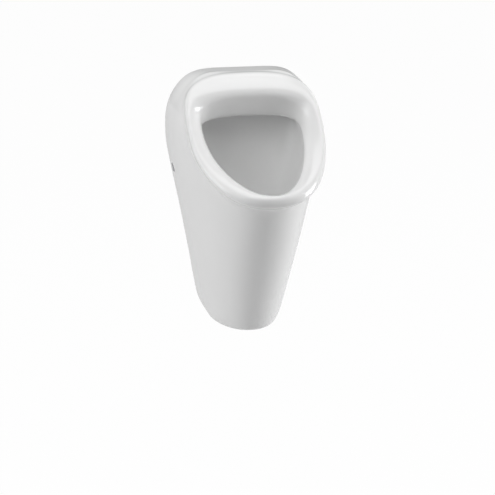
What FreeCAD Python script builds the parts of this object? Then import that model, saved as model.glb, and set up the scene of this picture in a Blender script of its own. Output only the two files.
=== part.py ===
import FreeCAD, Part
import math
import os
import Sketcher

# Wall hung urinal in glazed vitreous china, with its waste, trap, flush inlet and side fixings.
# Millimetres.  X runs to the right seen from the front, Y points into the wall, Z points up.
# The wall is the plane Y = 0.  The origin lies on it, midway between the four wall screw holes.

# ---------------------------------------------------------------- sizes, in millimetres
# Levels are heights above the underside of the china, and depths are distances from the wall.

# Overall china
FIXING_LEVEL = 335             # height of the origin above the underside
BODY_HEIGHT = 540              # height of the china
BACK_HALF_WIDTH = 160          # half width at the wall, at its widest
FOOT_HALF_WIDTH = 86           # half width at the wall, at the underside
TRUNK_DEPTH = 300              # depth of the trunk at its deepest, behind the lip
FOOT_DEPTH = 170               # depth of the underside
CHINA_WALL = 11                # thickness of the china
TRUNK_CENTRE_LEVEL = 300       # the trunk's poles lie on rays from a centre at this level
PAST_WALL = 20                 # how far the skin runs past the wall before it is cut off there
FOOT_SQUARENESS = 2.35         # squareness of the trunk's sections at the foot, where 2 is an ellipse
HEAD_SQUARENESS = 2.05         # squareness of the trunk's sections below the rim

# Rim
RIM_HALF_WIDTH = 142.5         # half width of the rim
RIM_WIDE_LEVEL = 455           # height of the rim's widest place
RIM_TOP_DEPTH = 62             # depth of the rim at the top
RIM_MID_DEPTH = 150            # depth of the rim at its widest place
LIP_DEPTH = 324                # depth of the rim at the front lip
LIP_LEVEL = 331                # height of the lip's outer edge
RIM_SWAY = 25                  # how far the rim's profile sways about its middle

# Opening
OPENING_HALF_WIDTH = 104       # half width of the opening
OPENING_WIDE_LEVEL = 430       # height of the opening's widest place
LINTEL_LEVEL = 450             # height of the lintel's lower edge
LINTEL_DEPTH = 80              # depth of the lintel's lower edge
OPENING_MID_DEPTH = 125        # depth of the opening's edge at its widest place
OPENING_FRONT_DEPTH = 303      # depth of the opening's edge at the lip
OPENING_LOW_LEVEL = 346        # height of the opening's edge at the lip

# Bowl
BOWL_HALF_WIDTH = 113          # half width of the bowl
BOWL_MID_HALF_WIDTH = 98       # half width of the bowl halfway up
BOWL_LOW_HALF_WIDTH = 72       # half width of the bowl just above its floor
BOWL_BACK_DEPTH = 39           # depth of the bowl's back wall
CEILING_LEVEL = 490            # height of the bowl's ceiling
FLOOR_LEVEL = 196              # height of the bowl's floor
WASTE_DEPTH = 108              # distance of the waste hole from the wall
WASTE_HOLE_RADIUS = 24         # radius of the waste hole
WASTE_BOSS_RADIUS = 47         # radius of the flat seat round the waste hole

# Waste, in the floor of the bowl
SEAT_DEPTH = 2                 # depth of the recess that the waste flange sits in
SEAT_RADIUS = 40               # radius of that recess
BOSS_HEIGHT = 15               # height of the flat boss round the waste hole
SEAL_THICKNESS = 1.5           # thickness of the flat seals
FLANGE_RADIUS = 38             # radius of the waste flange
FLANGE_THICKNESS = 3           # thickness of the waste flange's plate
TAIL_RADIUS = 21.5             # outer radius of the waste flange's tail
TAIL_BORE = 18.5               # bore radius of the tail
TAIL_LENGTH = 56               # length of the tail below the plate
THREAD_GAP = 0.3               # radial gap between a nut and what it runs on
STRAINER_RADIUS = 29           # radius of the strainer's plate
STRAINER_THICKNESS = 1.6       # thickness of the strainer's plate
STRAINER_GAP = 0.3             # gap all round between the strainer and the flange
STRAINER_SKIRT = 8             # depth of the strainer's skirt
STRAINER_HOLE = 2.6            # radius of one drain hole
STRAINER_HOLES = 8             # drain holes in one ring
WASHER_THICKNESS = 3           # thickness of the washer below the china
WASTE_NUT_HEIGHT = 10          # height of the waste nut
WASTE_NUT_RADIUS = 33          # corner radius of the waste nut

# Bottle trap
NECK_RADIUS = 26               # outer radius of the trap's neck
NECK_TOP_DROP = 46             # distance of the neck's top below the bowl's floor
NECK_HEIGHT = 22               # height of the neck
TRAP_RADIUS = 35               # outer radius of the trap body
TRAP_WALL = 2.5                # wall of the trap's plastic pieces
TRAP_HEIGHT = 66               # height of the trap body below its neck
CUP_RADIUS = 38                # outer radius of the base cup
CUP_HEIGHT = 42                # height of the base cup
CUP_OVERLAP = 11               # how far the base cup reaches up the trap body
DIP_END_GAP = 30               # gap between the dip tube's end and the cup's floor
OUTLET_DROP = 25               # distance of the outlet's axis below the trap body's shoulder
OUTLET_RADIUS = 25             # outer radius of the outlet pipe
OUTLET_WALL = 2.5              # wall of the outlet pipe
OUTLET_JOINT_DEPTH = 50        # distance of the outlet joint from the wall
OUTLET_INTO_WALL = 45          # length of the outlet pipe past the wall's face

# Flush inlet
INLET_LEVEL = 468              # height of the flush inlet above the underside
INLET_BOSS_RADIUS = 17         # radius of the flat seats round the spreader
INLET_BOSS_FRONT = 46          # distance of the inner seat from the wall
INLET_BOSS_BACK = 25           # distance of the outer seat from the wall
SPREADER_RADIUS = 10.3         # radius of the spreader's thread
SPREADER_BORE = 6.5            # bore radius of the spreader
SPREADER_HEAD_RADIUS = 12.5    # radius of the spreader's head
SPREADER_HEAD = 10             # length of the spreader's head
SPREADER_END = 9               # distance of the thread's end from the wall
COUPLING_RADIUS = 14           # corner radius of the inlet's nuts
SPREADER_NUT_HEIGHT = 7        # thickness of the spreader's nut
INLET_RADIUS = 7.5             # outer radius of the inlet pipe
INLET_WALL = 1                 # wall of the inlet pipe
INLET_INTO_WALL = 30           # length of the inlet pipe past the wall's face

# Fixings
FIXING_DEPTH = 27              # distance of the side screws from the wall
SIDE_HOLE_RADIUS = 10          # radius of the holes in the china's flanks
SPOT_RADIUS = 14               # radius of the flat spot inside each side hole
PLATE = 3                      # thickness of the wall brackets
ARM_HALF_SPACING = 122         # distance of a bracket's arm from the middle
ARM_DEPTH = 46                 # depth of a bracket's arm
ARM_HEIGHT = 50                # height of a bracket's arm
FOOT_WIDTH = 38                # width of a bracket's wall plate
FOOT_HEIGHT = 92               # height of a bracket's wall plate
WALL_HOLE_RADIUS = 4.5         # radius of a wall screw hole
WALL_HOLE_HALF_SPACING = 103   # distance of the wall screw holes from the middle
WALL_HOLE_HALF_RISE = 30       # distance of the wall screw holes above and below the origin
SCREW_RADIUS = 4               # radius of the side screws
SCREW_GAP = 0.4                # radial gap round the side screws
SCREW_HEAD_RADIUS = 7          # radius of a side screw's head
SCREW_HEAD_HEIGHT = 4          # height of a side screw's head
BUSH_GAP = 0.4                 # radial gap round a bush in its hole
WASHER_RADIUS = 9              # radius of a side screw's washer
SCREW_WASHER_THICKNESS = 1.4   # thickness of a side screw's washer
BRACKET_NUT_RADIUS = 7.5       # corner radius of a bracket nut
BRACKET_NUT_HEIGHT = 6.5       # height of a bracket nut
CAP_PLATE = 2                  # thickness of a cap
CAP_GAP = 0.6                  # radial gap round a cap

RING_POLES = 32                # poles round each ring of the china's skin
BEYOND = 2 * BODY_HEIGHT       # further out than anything reaches

doc = FreeCAD.newDocument("wall_urinal")
sheet = doc.addObject("Spreadsheet::Sheet", "Sizes")
row_count = 0


def size(alias, amount):
    """Write one named size in the sheet."""
    global row_count
    row_count += 1
    sheet.set("A%d" % row_count, alias.replace("_", " "))
    sheet.set("B%d" % row_count, str(amount))
    sheet.setAlias("B%d" % row_count, alias)


NAMED = {
    "fixing_level": FIXING_LEVEL, "body_height": BODY_HEIGHT, "back_half_width": BACK_HALF_WIDTH,
    "foot_half_width": FOOT_HALF_WIDTH, "trunk_depth": TRUNK_DEPTH, "foot_depth": FOOT_DEPTH,
    "china_wall": CHINA_WALL, "trunk_centre_level": TRUNK_CENTRE_LEVEL, "past_wall": PAST_WALL,
    "foot_squareness": FOOT_SQUARENESS, "head_squareness": HEAD_SQUARENESS,
    "rim_half_width": RIM_HALF_WIDTH, "rim_wide_level": RIM_WIDE_LEVEL, "rim_top_depth": RIM_TOP_DEPTH,
    "rim_mid_depth": RIM_MID_DEPTH, "lip_depth": LIP_DEPTH, "lip_level": LIP_LEVEL,
    "rim_sway": RIM_SWAY, "opening_half_width": OPENING_HALF_WIDTH,
    "opening_wide_level": OPENING_WIDE_LEVEL, "lintel_level": LINTEL_LEVEL,
    "lintel_depth": LINTEL_DEPTH, "opening_mid_depth": OPENING_MID_DEPTH,
    "opening_front_depth": OPENING_FRONT_DEPTH, "opening_low_level": OPENING_LOW_LEVEL,
    "bowl_half_width": BOWL_HALF_WIDTH, "bowl_mid_half_width": BOWL_MID_HALF_WIDTH,
    "bowl_low_half_width": BOWL_LOW_HALF_WIDTH, "bowl_back_depth": BOWL_BACK_DEPTH,
    "ceiling_level": CEILING_LEVEL, "floor_level": FLOOR_LEVEL, "waste_depth": WASTE_DEPTH,
    "waste_hole_radius": WASTE_HOLE_RADIUS, "waste_boss_radius": WASTE_BOSS_RADIUS,
    "seat_depth": SEAT_DEPTH, "seat_radius": SEAT_RADIUS, "boss_height": BOSS_HEIGHT,
    "seal_thickness": SEAL_THICKNESS, "flange_radius": FLANGE_RADIUS,
    "flange_thickness": FLANGE_THICKNESS, "tail_radius": TAIL_RADIUS, "tail_bore": TAIL_BORE,
    "tail_length": TAIL_LENGTH, "thread_gap": THREAD_GAP, "strainer_radius": STRAINER_RADIUS,
    "strainer_thickness": STRAINER_THICKNESS, "strainer_gap": STRAINER_GAP,
    "strainer_skirt": STRAINER_SKIRT, "strainer_hole": STRAINER_HOLE, "strainer_holes": STRAINER_HOLES,
    "washer_thickness": WASHER_THICKNESS, "waste_nut_height": WASTE_NUT_HEIGHT,
    "waste_nut_radius": WASTE_NUT_RADIUS, "neck_radius": NECK_RADIUS, "neck_top_drop": NECK_TOP_DROP,
    "neck_height": NECK_HEIGHT, "trap_radius": TRAP_RADIUS, "trap_wall": TRAP_WALL,
    "trap_height": TRAP_HEIGHT, "cup_radius": CUP_RADIUS, "cup_height": CUP_HEIGHT,
    "cup_overlap": CUP_OVERLAP, "dip_end_gap": DIP_END_GAP, "outlet_drop": OUTLET_DROP,
    "outlet_radius": OUTLET_RADIUS, "outlet_wall": OUTLET_WALL,
    "outlet_joint_depth": OUTLET_JOINT_DEPTH, "outlet_into_wall": OUTLET_INTO_WALL,
    "inlet_level": INLET_LEVEL, "inlet_boss_radius": INLET_BOSS_RADIUS,
    "inlet_boss_front": INLET_BOSS_FRONT, "inlet_boss_back": INLET_BOSS_BACK,
    "spreader_radius": SPREADER_RADIUS, "spreader_bore": SPREADER_BORE,
    "spreader_head_radius": SPREADER_HEAD_RADIUS, "spreader_head": SPREADER_HEAD,
    "spreader_end": SPREADER_END, "coupling_radius": COUPLING_RADIUS,
    "spreader_nut_height": SPREADER_NUT_HEIGHT, "inlet_radius": INLET_RADIUS, "inlet_wall": INLET_WALL,
    "inlet_into_wall": INLET_INTO_WALL, "fixing_depth": FIXING_DEPTH,
    "side_hole_radius": SIDE_HOLE_RADIUS, "spot_radius": SPOT_RADIUS, "plate": PLATE,
    "arm_half_spacing": ARM_HALF_SPACING, "arm_depth": ARM_DEPTH, "arm_height": ARM_HEIGHT,
    "foot_width": FOOT_WIDTH, "foot_height": FOOT_HEIGHT, "wall_hole_radius": WALL_HOLE_RADIUS,
    "wall_hole_half_spacing": WALL_HOLE_HALF_SPACING, "wall_hole_half_rise": WALL_HOLE_HALF_RISE,
    "screw_radius": SCREW_RADIUS, "screw_gap": SCREW_GAP, "screw_head_radius": SCREW_HEAD_RADIUS,
    "screw_head_height": SCREW_HEAD_HEIGHT, "bush_gap": BUSH_GAP, "washer_radius": WASHER_RADIUS,
    "screw_washer_thickness": SCREW_WASHER_THICKNESS, "bracket_nut_radius": BRACKET_NUT_RADIUS,
    "bracket_nut_height": BRACKET_NUT_HEIGHT, "cap_plate": CAP_PLATE, "cap_gap": CAP_GAP,
}
for alias, amount in NAMED.items():
    size(alias, amount)
doc.recompute()


def value(alias):
    """Read one size from the sheet."""
    return float(sheet.get(alias))


# ---------------------------------------------------------------- china

def trunk_sections():
    """Horizontal sections: level, then shares of the way from the foot's half width, depth and squareness
    to those of the head."""
    top = value("body_height")
    return (
        (-60, -0.12, -0.19, 0.0), (0, 0.0, 0.0, 0.0), (24, 0.04, 0.06, 0.0), (120, 0.257, 0.34, 0.0),
        (220, 0.505, 0.64, 0.33), (310, 0.757, 0.91, 1.0), (350, 0.885, 0.97, 1.0), (380, 0.969, 1.0, 1.0),
        (top - 130, 0.995, 0.94, 1.0), (top - 100, 1.0, 0.754, 1.0), (top - 70, 0.953, 0.508, 1.0),
        (top - 45, 0.79, 0.23, 1.0), (top - 30, 0.662, 0.062, 1.0), (top - 20, 0.514, -0.077, 1.0),
        (top - 10, 0.324, -0.23, 1.0), (top, 0.135, -0.385, 1.0), (top + 60, -0.62, -0.846, 1.0))


def wall_line():
    """Where the trunk's poles meet the wall, from the middle of the top down to the middle of the foot."""
    top = value("body_height")
    head = value("back_half_width")
    foot = value("foot_half_width")
    return (
        (0, top), (head - 122, top), (head - 86, top), (head - 56, top - 8), (head - 32, top - 25),
        (head - 14.5, top - 51), (head - 3.5, top - 80), (head, 425), (head - 2, 385), (head - 11, 335),
        (head - 24, 275), (head - 41, 190), (foot + 15, 95), (foot + 4, 19), (foot - 15, 0), (foot - 51, 0),
        (0, 0))


def foot_edge():
    """Where the last poles cross the foot's front edge: half width, depth and level, by place in the ring."""
    foot = value("foot_half_width")
    depth = value("foot_depth")
    return {13: (foot + 1, depth - 116, 3), 14: (foot - 20, depth - 66, 0), 15: (foot - 48, depth - 18, 0),
            16: (0, depth - 4, 0)}


def power_of(number, power):
    """Raise the size of a number to a power and keep its sign."""
    return math.copysign(abs(number) ** power, number)


def ring(half_width, top, middle, low, top_depth, middle_depth, low_depth, upper=2.0, lower=2.0, sway=0.0):
    """Poles of one closed ring: an egg in the front view that follows a curved depth."""
    poles = []
    for step in range(RING_POLES):
        angle = 2.0 * math.pi * (step - 1) / RING_POLES
        squareness = upper if math.cos(angle) > 1e-9 else lower
        across = power_of(math.sin(angle), 2.0 / squareness)
        upright = power_of(math.cos(angle), 2.0 / squareness)
        reach = top - middle if upright > 0 else middle - low
        depth = (middle_depth - (low_depth - top_depth) / 2.0 * upright
                 + ((low_depth + top_depth) / 2.0 - middle_depth) * upright ** 2
                 - sway * (upright ** 3 - upright))
        poles.append(FreeCAD.Vector(half_width * across, -depth, middle + reach * upright))
    return poles


def level_ring(radius, level, depth):
    """Poles of a level circle round the waste."""
    return ring(radius, level, level, level, depth - radius, depth, depth + radius)


def closed_solid(faces):
    """Join faces to one solid with its outside outwards."""
    shell = Part.makeShell(faces)
    if len(faces) > 1:
        shell.sewShape()
        shell = shell.Shells[0] if shell.Shells else shell
    solid = Part.makeSolid(shell)
    if solid.Volume < 0:
        solid.reverse()
    return solid


def section_at(level, sections):
    """Half width, depth and squareness of the trunk at a level."""
    foot = [value("foot_half_width"), value("foot_depth"), value("foot_squareness")]
    head = [value("back_half_width"), value("trunk_depth"), value("head_squareness")]
    for low, high in zip(sections, sections[1:]):
        if level <= high[0]:
            along = (level - low[0]) / (high[0] - low[0])
            shares = [a + (b - a) * along for a, b in zip(low[1:], high[1:])]
            return [a + (b - a) * share for a, b, share in zip(foot, head, shares)]
    return head


def trunk_centre():
    """The trunk's poles lie on rays from here."""
    return FreeCAD.Vector(0, 0, value("trunk_centre_level"))


def on_trunk(direction, inset):
    """The place where a ray from the trunk's centre leaves the trunk, drawn in by an inset."""
    top = value("body_height")
    centre = trunk_centre()
    sections = trunk_sections()
    near, far = 0.0, 700.0
    for _ in range(30):
        middle = (near + far) / 2.0
        spot = centre + direction * middle
        width, depth, squareness = section_at(spot.z, sections)
        across = (abs(spot.x) / (width - inset)) ** squareness
        ahead = (abs(spot.y) / (depth - inset)) ** squareness
        if inset <= spot.z <= top - inset and across + ahead <= 1:
            near = middle
        else:
            far = middle
    return centre + direction * near


def towards(x, y, z):
    """Direction from the trunk's centre to a place."""
    return (FreeCAD.Vector(x, y, z) - trunk_centre()).normalize()


def between(first, last, share):
    """Direction part of the way from one to another."""
    angle = first.getAngle(last)
    if angle < 1e-6:
        return first
    return (first * math.sin((1 - share) * angle) + last * math.sin(share * angle)) * (1 / math.sin(angle))


def trunk_ring(start, share, inset, past_wall=0):
    """Poles on the trunk: share 0 lies below the rim, 1 on the foot's front edge and 2 on the wall."""
    line = wall_line()
    edge = foot_edge()
    poles = []
    for step, pole in enumerate(start):
        place = (step - 1) % RING_POLES
        side = 1 if place <= RING_POLES / 2 else -1
        place = min(place, RING_POLES - place)
        across, level = line[place]
        first = towards(pole.x, pole.y, pole.z)
        last = towards(side * across, 0, level)
        if place in edge:
            across, depth, level = edge[place]
            middle = towards(side * across, -depth, level)
        else:
            middle = between(first, last, 0.62 + 0.008 * max(0, place - 4))
        direction = between(first, middle, share) if share <= 1 else between(middle, last, share - 1)
        poles.append(on_trunk(direction, inset) + FreeCAD.Vector(0, past_wall, 0))
    return poles


def half_skin(rings):
    """Right half of a smooth closed skin through rings of poles, the last of which joins the first."""
    surface = Part.BSplineSurface()
    around = len(rings)
    surface.buildFromPolesMultsKnots(
        rings, [1] * (around + 1), [1] * (RING_POLES + 1),
        list(range(around + 1)), list(range(RING_POLES + 1)), True, True, 3, 3)
    surface.segment(0, around, 0, RING_POLES / 2)
    return surface


def china_rings():
    """Rings of the whole china: up the bowl, over the rim, down the trunk to the wall, back behind the bowl."""
    wall = value("china_wall")
    top = value("body_height")
    back = value("bowl_back_depth")
    wide = value("bowl_half_width")
    ceiling = value("ceiling_level")
    floor = value("floor_level")
    hole = value("waste_depth")
    lintel = value("lintel_level")
    lintel_depth = value("lintel_depth")
    lip = value("lip_level")
    lip_depth = value("lip_depth")
    rim = value("rim_half_width")
    rim_wide = value("rim_wide_level")
    rim_top = value("rim_top_depth")
    rim_mid = value("rim_mid_depth")
    sway = value("rim_sway")
    mouth = value("opening_half_width")
    mouth_wide = value("opening_wide_level")
    mouth_mid = value("opening_mid_depth")
    mouth_front = value("opening_front_depth")
    mouth_low = value("opening_low_level")
    mid_wide = value("bowl_mid_half_width")
    low_wide = value("bowl_low_half_width")
    seat = value("waste_boss_radius")
    drain = value("waste_hole_radius")
    past_wall = value("past_wall")
    below_rim = ring(rim - 2, top - 1, rim_wide - 2, lip - 16, rim_top - 14, rim_mid - 14, lip_depth - 24,
                     3.0, 2.4, sway)
    fold = ring(rim - 12.5, top - 24, rim_wide - 9, lip - 31, rim_top - 18, rim_mid - 30, lip_depth - 45,
                2.8, 2.3)

    def outside(share, behind=0):
        return trunk_ring(below_rim, share, 0, behind)

    def inside(share, behind=0):
        return trunk_ring(fold, share, wall, behind)

    return [
        level_ring(drain - 10, floor - 4, hole),
        level_ring(seat - 4, floor - 1, hole),
        level_ring(seat + 2, floor + 3, hole),
        ring(low_wide, floor + 42, floor + 26, floor + 34, back + 13, hole, hole + 82),
        ring(mid_wide, floor + 134, floor + 104, floor + 89, back + 3, hole, mouth_front - 55),
        ring(wide, ceiling - 50, mouth_wide - 55, mouth_low - 28, back, hole - 6, mouth_front - 29, 2.4, 2.1),
        ring(wide, ceiling, mouth_wide - 20, mouth_low - 14, back + 4, hole - 4, mouth_front - 21, 2.6, 2.1),
        ring(wide - 1, ceiling - 3, mouth_wide - 6, mouth_low - 8, lintel_depth - 16, mouth_mid - 15,
             mouth_front - 16, 2.8, 2.1),
        ring(mouth + 2, lintel + 4, mouth_wide, mouth_low - 5, lintel_depth - 10, mouth_mid - 8,
             mouth_front - 5, 2.75, 2.1, 20),
        ring(mouth, lintel - 1, mouth_wide, mouth_low, lintel_depth + 1, mouth_mid, mouth_front,
             2.75, 2.1, 20),
        ring(mouth + 3, lintel + 39, mouth_wide + 10, mouth_low + 1, lintel_depth + 9, mouth_mid + 6,
             mouth_front + 5, 2.7, 2.1, sway),
        ring(mouth + 11, lintel + 54, mouth_wide + 17, mouth_low + 3, lintel_depth + 21, rim_mid - 4,
             lip_depth - 10, 2.7, 2.15, sway),
        ring(rim - 8.5, top - 10, rim_wide - 1, lip + 15, rim_top + 17, rim_mid + 8, lip_depth - 3,
             2.9, 2.3, sway),
        ring(rim, top + 3, rim_wide, lip + 3, rim_top, rim_mid, lip_depth, 3.0, 2.5, sway),
        ring(rim - 0.5, top - 2, rim_wide - 1, lip - 9, rim_top - 10, rim_mid - 10, lip_depth - 6,
             3.0, 2.5, sway),
        outside(0), outside(0.16), outside(0.38), outside(0.62), outside(0.82), outside(0.93), outside(1),
        outside(1.12), outside(1.5), outside(2), outside(2, past_wall),
        inside(2, past_wall), inside(2), inside(1.4), inside(1), inside(0.85), inside(0.6), inside(0.3),
        inside(0.1),
        ring(rim - 14.5, top - 28, rim_wide - 15, lip - 29, rim_top - 20, rim_mid - 38, lip_depth - 46,
             2.7, 2.2),
        ring(wide + wall, ceiling + wall, mouth_wide - 15, mouth_low - 50, back - 8, hole - 6,
             mouth_front - 31, 2.6, 2.1),
        ring(wide + wall, ceiling - 44, mouth_wide - 52, mouth_low - 58, back - wall, hole - 10,
             mouth_front - 39, 2.4, 2.1),
        ring(mid_wide + wall, floor + 126, floor + 96, floor + 74, back - 9, hole - 2, mouth_front - 51),
        ring(low_wide + wall, floor + 26, floor + 12, floor + 18, back + 2, hole, hole + 90),
        level_ring(seat + 3, floor - 9, hole),
        level_ring(seat - 1, floor - 13, hole),
        level_ring(drain - 10, floor - 13, hole),
    ]


def china_skin():
    """Right half of the china, cut off flat at the wall."""
    surface = half_skin(china_rings())
    ends = [surface.vIso(0), surface.vIso(RING_POLES / 2)]
    solid = closed_solid([surface.toShape()] + [Part.Face(Part.Wire(end.toShape())) for end in ends])
    solid.translate(FreeCAD.Vector(0, 0, -value("fixing_level")))
    return solid.cut(Part.makeBox(2 * BEYOND, BEYOND, 2 * BEYOND, FreeCAD.Vector(-BEYOND, 0, -BEYOND)))


# ---------------------------------------------------------------- china, as document objects

def right_half(shape):
    """The right half of a shape."""
    return shape.common(Part.makeBox(BEYOND, 2 * BEYOND, 2 * BEYOND, FreeCAD.Vector(0, -BEYOND, -BEYOND)))


def both_halves(half):
    """A solid from its right half: every face off the middle plane, and its mirror image."""
    outside = [face for face in half.Faces if face.BoundBox.XMax > 0.001]
    middle = FreeCAD.Vector(0, 0, 0)
    mirrored = [face.mirror(middle, FreeCAD.Vector(1, 0, 0)) for face in outside]
    return closed_solid(outside + mirrored)


def cylinder(label, radius, height, base, turn=None):
    """A cylinder whose sizes and place are expressions on the sheet."""
    item = doc.addObject("Part::Cylinder", label)
    bind(item, {"Radius": radius, "Height": height})
    put(item, base, turn)
    return item


def bind(item, expressions):
    """Bind properties to the sheet."""
    for name, expression in expressions.items():
        item.setExpression(name, named(expression))


def named(expression):
    """Write the sheet's name before each size in an expression."""
    words = []
    word = ""
    for letter in str(expression) + " ":
        if letter.isalnum() or letter in "_.":
            word += letter
            continue
        words.append("Sizes." + word if word[:1].isalpha() else word)
        words.append(letter)
        word = ""
    return "".join(words).strip()


def put(item, base, turn=None):
    """Place an item: three expressions for its base, and a turn about an axis."""
    if turn:
        axis, degrees = turn
        item.Placement.Rotation = FreeCAD.Rotation(axis, degrees)
    for letter, expression in zip("xyz", base):
        item.setExpression("Placement.Base." + letter, named(expression))


X_AXIS = FreeCAD.Vector(1, 0, 0)
Y_AXIS = FreeCAD.Vector(0, 1, 0)
Z_AXIS = FreeCAD.Vector(0, 0, 1)
TO_WALL = (X_AXIS, -90)          # turns +Z to +Y
TO_RIGHT = (Y_AXIS, 90)          # turns +Z to +X


def joined(kind, label, first, second):
    """A boolean of two items."""
    item = doc.addObject("Part::" + kind, label)
    item.Base = first
    item.Tool = second
    return item


def row_of(label, items):
    """Several tools as one."""
    item = doc.addObject("Part::MultiFuse", label)
    item.Shapes = items
    return item


waste_boss = cylinder("waste_boss", "waste_boss_radius", "boss_height",
                      ("0", "-waste_depth", "floor_level - seat_depth - boss_height + 2 - fixing_level"))
inlet_boss = cylinder("inlet_boss", "inlet_boss_radius", "inlet_boss_front - inlet_boss_back",
                      ("0", "-inlet_boss_front", "inlet_level - fixing_level"), TO_WALL)
doc.recompute()

china = china_skin()
china = china.fuse(right_half(waste_boss.Shape)).fuse(right_half(inlet_boss.Shape))

probe = Part.makeLine(FreeCAD.Vector(1, -value("fixing_depth"), 0),
                      FreeCAD.Vector(400, -value("fixing_depth"), 0))
flank = max(probe.common(china).Edges, key=lambda edge: edge.BoundBox.XMax).BoundBox
size("flank_outer", round(flank.XMax, 1))            # outside of the flank at the side holes
size("flank_inner", round(flank.XMin, 1) - 1.5)      # flat spot inside the flank there
doc.recompute()

seat_cut = cylinder("seat_cut", "seat_radius", "30",
                    ("0", "-waste_depth", "floor_level - seat_depth - fixing_level"))
waste_cut = cylinder("waste_cut", "waste_hole_radius", "80",
                     ("0", "-waste_depth", "floor_level - 60 - fixing_level"))
inlet_cut = cylinder("inlet_cut", "spreader_radius + 0.7", "inlet_boss_front",
                     ("0", "-inlet_boss_front - 1", "inlet_level - fixing_level"), TO_WALL)
side_hole = cylinder("side_hole", "side_hole_radius", "40",
                     ("flank_outer - 20", "-fixing_depth", "0"), TO_RIGHT)
side_spot = cylinder("side_spot", "spot_radius", "30",
                     ("flank_inner - 30", "-fixing_depth", "0"), TO_RIGHT)
doc.recompute()
for tool in (seat_cut, waste_cut, inlet_cut, side_hole, side_spot):
    china = china.cut(right_half(tool.Shape))
ceramic_body = doc.addObject("Part::Feature", "ceramic_body")
ceramic_body.Shape = both_halves(china)

# ---------------------------------------------------------------- turned pieces

ZONES = {"X": ("XY_Plane", "H_Axis"), "Y": ("XY_Plane", "V_Axis"), "Z": ("XZ_Plane", "V_Axis")}


def plane_of(body, role):
    """An origin plane of a body."""
    return [item for item in body.Origin.OriginFeatures if item.Role == role][0]


def outline(body, label, plane, corners):
    """A closed sketch through corners, each given as two expressions and held by two dimensions."""
    sketch = body.newObject("Sketcher::SketchObject", label)
    sketch.AttachmentSupport = [(plane_of(body, plane), "")]
    sketch.MapMode = "FlatFace"
    spots = [[float(sheet.evalExpression(named(text))) for text in corner] for corner in corners]
    count = len(spots)
    for index, spot in enumerate(spots):
        other = spots[(index + 1) % count]
        sketch.addGeometry(Part.LineSegment(FreeCAD.Vector(*spot, 0), FreeCAD.Vector(*other, 0)), False)
    for index in range(count):
        sketch.addConstraint(Sketcher.Constraint("Coincident", index, 2, (index + 1) % count, 1))
    for index, corner in enumerate(corners):
        for kind, text, number in zip(("DistanceX", "DistanceY"), corner, spots[index]):
            mark = sketch.addConstraint(Sketcher.Constraint(kind, -1, 1, index, 1, number))
            sketch.setExpression("Constraints[%d]" % mark, named(text))
    return sketch


def turned(label, axis, corners, base):
    """A piece turned about its own X, Y or Z axis.  Corners are (along, radius) pairs."""
    body = doc.addObject("PartDesign::Body", label)
    plane, line = ZONES[axis]
    pairs = corners if axis == "X" else [(radius, along) for along, radius in corners]
    sketch = outline(body, label + "_profile", plane, pairs)
    turn = body.newObject("PartDesign::Revolution", label + "_turn")
    turn.Profile = sketch
    turn.ReferenceAxis = (sketch, [line])
    turn.Angle = 360
    put(body, base)
    return body


def nut(label, corner_radius, bore, height, base, turn=None):
    """A hexagon nut."""
    blank_nut = doc.addObject("Part::Prism", label + "_hexagon")
    blank_nut.Polygon = 6
    bind(blank_nut, {"Circumradius": corner_radius, "Height": height})
    put(blank_nut, base, turn)
    hole = cylinder(label + "_bore", bore, height, base, turn)
    return joined("Cut", label, blank_nut, hole)


def at_waste(level):
    """A place on the waste's axis at a level above the underside."""
    return ("0", "-waste_depth", level + " - fixing_level")


SEAT = "floor_level - seat_depth"
FLANGE = SEAT + " + seal_thickness"
BOSS_FOOT = SEAT + " - boss_height + 2"

waste_seal = turned("waste_seal", "Z", [
    ("0", "waste_hole_radius"), ("0", "flange_radius - 1"),
    ("seal_thickness", "flange_radius - 1"), ("seal_thickness", "waste_hole_radius")], at_waste(SEAT))

waste_flange = turned("waste_flange", "Z", [
    ("-tail_length", "tail_bore"), ("-tail_length", "tail_radius"), ("0", "tail_radius"),
    ("0", "flange_radius"), ("flange_thickness * 0.5", "flange_radius"),
    ("flange_thickness", "flange_radius - 2"), ("flange_thickness", "strainer_radius + strainer_gap"),
    ("flange_thickness - strainer_thickness", "strainer_radius + strainer_gap"),
    ("flange_thickness - strainer_thickness", "tail_bore + 2"),
    ("flange_thickness - strainer_thickness - 2", "tail_bore")], at_waste(FLANGE))

strainer = turned("strainer", "Z", [
    ("strainer_gap - strainer_thickness - strainer_skirt", "tail_bore - strainer_gap - 1.2"),
    ("strainer_gap - strainer_thickness - strainer_skirt", "tail_bore - strainer_gap"),
    ("strainer_gap - strainer_thickness - 2", "tail_bore - strainer_gap"),
    ("strainer_gap - strainer_thickness", "tail_bore - strainer_gap + 1"),
    ("strainer_gap - strainer_thickness", "strainer_radius"), ("strainer_gap", "strainer_radius"),
    ("strainer_gap + 1.5", "strainer_radius * 0.6"), ("strainer_gap + 2", "0"),
    ("strainer_gap + 2 - strainer_thickness", "0"),
    ("strainer_gap - strainer_thickness + 0.6", "tail_bore - strainer_gap - 1.2")],
    at_waste(FLANGE + " + flange_thickness"))


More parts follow.
